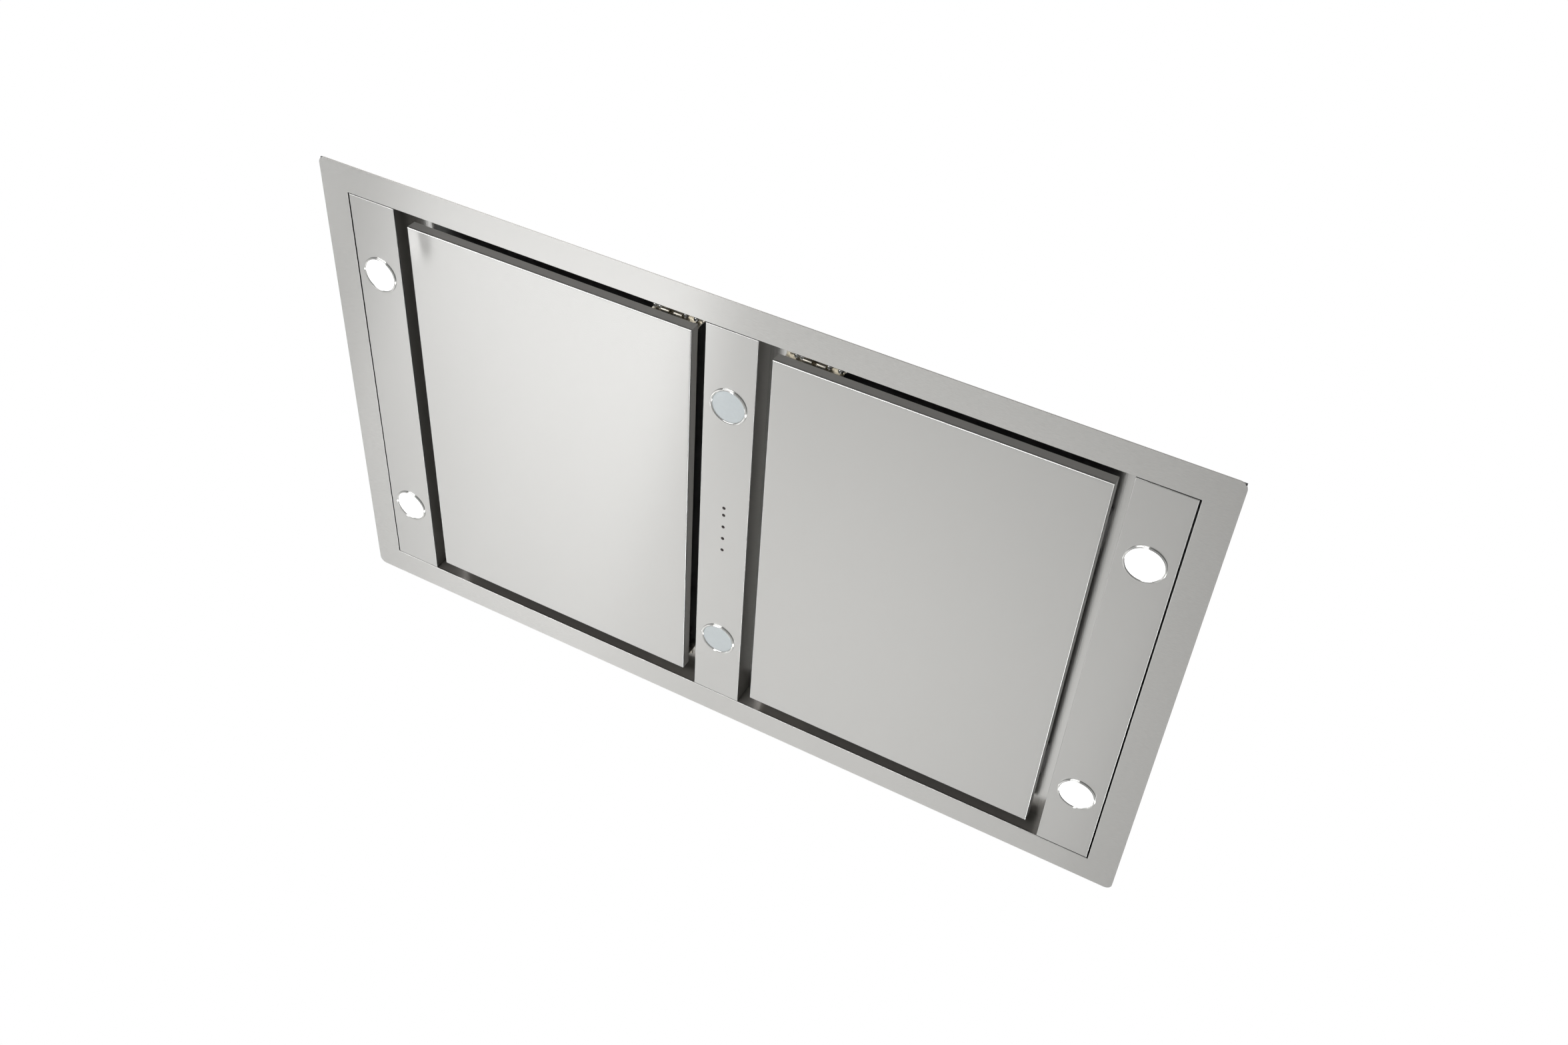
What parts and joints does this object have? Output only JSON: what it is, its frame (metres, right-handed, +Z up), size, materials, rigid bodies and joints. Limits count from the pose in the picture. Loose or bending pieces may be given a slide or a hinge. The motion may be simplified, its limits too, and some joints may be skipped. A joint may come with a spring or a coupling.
{
  "type": "ceiling range hood",
  "caption": "Flush ceiling hood: thin stainless flange, strips with lamps, hinged suction panels over grease filters, and a blower in a tapered housing with a round outlet.",
  "frame": {"origin": "centre of the flange's visible underside", "axes": "+X along the long side, +Y across it, +Z up into the ceiling"},
  "size_m": [1.2, 0.7, 0.3532],
  "materials": {
    "brushed_stainless": "brushed along its long side",
    "satin_stainless": "fine satin",
    "galvanised_sheet": "dull zinc",
    "plated_steel": "bright zinc plated",
    "polished_chrome": "polished",
    "spring_steel": "blued",
    "filter_aluminium": "satin",
    "mesh_aluminium": "layered expanded mesh",
    "frosted_glass": "frosted",
    "lamp_aluminium": "cast",
    "smoked_plastic": "dark red",
    "board_laminate": "green resist",
    "black_plastic": "moulded",
    "grey_plastic": "moulded",
    "white_plastic": "moulded",
    "motor_paint": "satin enamel",
    "mount_rubber": "matte",
    "seal_foam": "closed-cell foam"
  },
  "bodies": {
    "hood": {"ceiling_frame": "brushed_stainless", "ceiling_gasket": "seal_foam", "housing_shell": "galvanised_sheet", "top_cover": "galvanised_sheet", "cover_screws": "plated_steel", "hanger_brackets": "galvanised_sheet", "hanger_bolts": "plated_steel", "light_strip_left": "brushed_stainless", "light_strip_centre": "brushed_stainless", "light_strip_right": "brushed_stainless", "filter_tray_left": "satin_stainless", "filter_tray_right": "satin_stainless", "hinge_brackets_left": "plated_steel", "hinge_brackets_right": "plated_steel", "hinge_pins": "plated_steel", "magnet_catches": "black_plastic", "ledge_screws": "plated_steel", "filter_frame_left": "filter_aluminium", "filter_frame_right": "filter_aluminium", "filter_mesh_left": "mesh_aluminium", "filter_mesh_right": "mesh_aluminium", "latch_spring_left": "spring_steel", "latch_spring_right": "spring_steel", "lamp_bezels": "polished_chrome", "lamp_lenses_outer": "frosted_glass", "lamp_lenses_centre": "frosted_glass", "lamp_bodies": "lamp_aluminium", "indicator_bar": "smoked_plastic", "receiver_board": "board_laminate", "scroll_left": "grey_plastic", "scroll_right": "grey_plastic", "motor_housing": "motor_paint", "motor_bracket": "galvanised_sheet", "blower_straps": "galvanised_sheet", "rubber_mounts": "mount_rubber", "outlet_adaptor": "black_plastic", "outlet_spigot": "black_plastic", "damper_pin": "spring_steel", "control_box": "white_plastic", "control_lid": "white_plastic", "control_board": "board_laminate", "lamp_driver": "white_plastic", "terminal_box": "black_plastic", "cable_gland": "black_plastic"},
    "panel_left": {"panel_skin_left": "satin_stainless", "panel_back_left": "galvanised_sheet", "striker_plates_left": "plated_steel", "hinge_leaves_left": "plated_steel"},
    "panel_right": {"panel_skin_right": "satin_stainless", "panel_back_right": "galvanised_sheet", "striker_plates_right": "plated_steel", "hinge_leaves_right": "plated_steel"},
    "latch_left": {"filter_latch_left": "satin_stainless"},
    "latch_right": {"filter_latch_right": "satin_stainless"},
    "wheel": {"impeller": "grey_plastic", "motor_shaft": "spring_steel"},
    "flap_front": {"damper_flap_front": "black_plastic"},
    "flap_back": {"damper_flap_back": "black_plastic"}
  },
  "joints": [
    {"name": "panel_left_hinge", "type": "hinge", "parent": "hood", "child": "panel_left", "pos_m": [-0.062, 0, 0.0225], "axis": [0, -1, 0], "range_deg": [0, 85]},
    {"name": "panel_right_hinge", "type": "hinge", "parent": "hood", "child": "panel_right", "pos_m": [0.062, 0, 0.0225], "axis": [0, 1, 0], "range_deg": [0, 85]},
    {"name": "latch_left_slide", "type": "slide", "parent": "hood", "child": "latch_left", "axis": [1, 0, 0], "range_m": [0, 0.006], "stiffness_N_per_m": 800, "springref_m": -0.004, "deforming": ["latch_spring_left"]},
    {"name": "latch_right_slide", "type": "slide", "parent": "hood", "child": "latch_right", "axis": [-1, 0, 0], "range_m": [0, 0.006], "stiffness_N_per_m": 800, "springref_m": -0.004, "deforming": ["latch_spring_right"]},
    {"name": "wheel_spin", "type": "hinge", "parent": "hood", "child": "wheel", "pos_m": [0, -0.09164, 0.168], "axis": [1, 0, 0], "continuous": true},
    {"name": "flap_front_hinge", "type": "hinge", "parent": "hood", "child": "flap_front", "pos_m": [0, 0, 0.3052], "axis": [-1, 0, 0], "range_deg": [0, 75]},
    {"name": "flap_back_hinge", "type": "hinge", "parent": "hood", "child": "flap_back", "pos_m": [0, 0, 0.3052], "axis": [1, 0, 0], "range_deg": [0, 75]}
  ]
}
